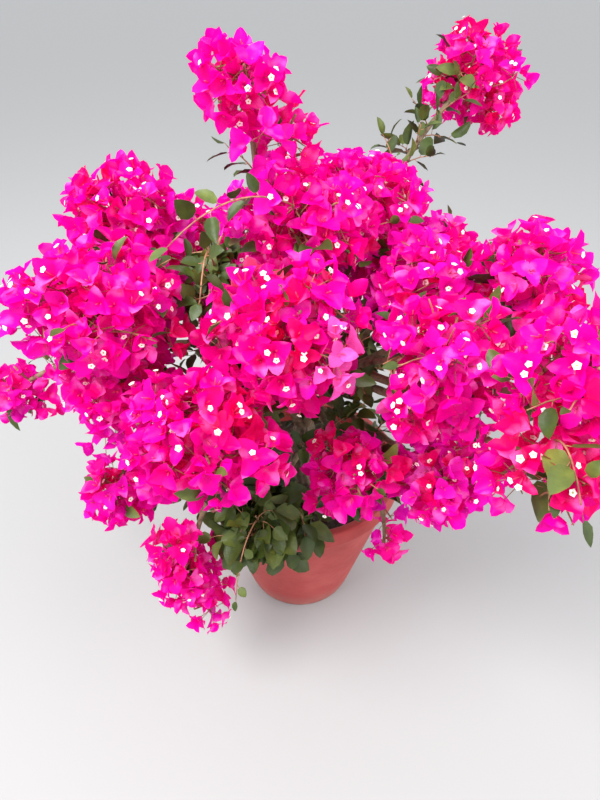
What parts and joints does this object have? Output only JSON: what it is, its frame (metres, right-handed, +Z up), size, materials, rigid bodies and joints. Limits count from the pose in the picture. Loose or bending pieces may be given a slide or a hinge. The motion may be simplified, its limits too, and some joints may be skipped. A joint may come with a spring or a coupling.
{
  "type": "potted bougainvillea bush",
  "caption": "Bougainvillea bush in a round pot: short trunk, arching canes and a loose crown of bright bracts with hanging sprays",
  "frame": {"origin": "centre of the pot's flat underside, on the level surface that it stands on", "axes": "+Z up; -Y is the front, towards the viewer; +X is the right-hand side in the picture"},
  "size_m": [0.9447, 0.959, 1.0219],
  "materials": {
    "pot": "sun-worn terracotta-red moulded plastic, satin, with dust near the foot",
    "soil": "dark crumbly potting soil with bark chips, matt",
    "bark": "grey-brown ridged bark on the trunk, smoother tan on the canes",
    "blossom": "thin papery magenta bracts with small white flowers, lightly see-through to light",
    "leaves": "mid to dark green pointed leaves, soft satin top, paler below"
  },
  "bodies": {
    "root": {"blossom_back_shoot": "blossom", "blossom_crest": "blossom", "blossom_flank_left": "blossom", "blossom_flank_right": "blossom", "blossom_front_left": "blossom", "blossom_hang_left": "blossom", "blossom_hang_low": "blossom", "blossom_hang_right": "blossom", "blossom_heart": "blossom", "blossom_left": "blossom", "blossom_left_low": "blossom", "blossom_left_top": "blossom", "blossom_low_mid": "blossom", "blossom_mid_top": "blossom", "blossom_neck": "blossom", "blossom_rear_left": "blossom", "blossom_rear_low": "blossom", "blossom_rear_right": "blossom", "blossom_rear_top": "blossom", "blossom_right_front": "blossom", "blossom_right_low": "blossom", "blossom_right_mid": "blossom", "blossom_right_shoulder": "blossom", "blossom_right_tip": "blossom", "blossom_right_top": "blossom", "blossom_side_left": "blossom", "cane_back_shoot": "bark", "cane_crest": "bark", "cane_flank_left": "bark", "cane_flank_right": "bark", "cane_front_left": "bark", "cane_hang_left": "bark", "cane_hang_low": "bark", "cane_hang_right": "bark", "cane_heart": "bark", "cane_inner": "bark", "cane_left": "bark", "cane_left_low": "bark", "cane_left_top": "bark", "cane_low_mid": "bark", "cane_mid_top": "bark", "cane_neck": "bark", "cane_rear_left": "bark", "cane_rear_low": "bark", "cane_rear_right": "bark", "cane_rear_top": "bark", "cane_right_front": "bark", "cane_right_low": "bark", "cane_right_mid": "bark", "cane_right_shoulder": "bark", "cane_right_tip": "bark", "cane_right_top": "bark", "cane_side_left": "bark", "cane_sprig": "bark", "leaves_inner": "leaves", "leaves_over_pot": "leaves", "leaves_sprig": "leaves", "pot": "pot", "soil": "soil", "trunk": "bark"}
  },
  "joints": []
}
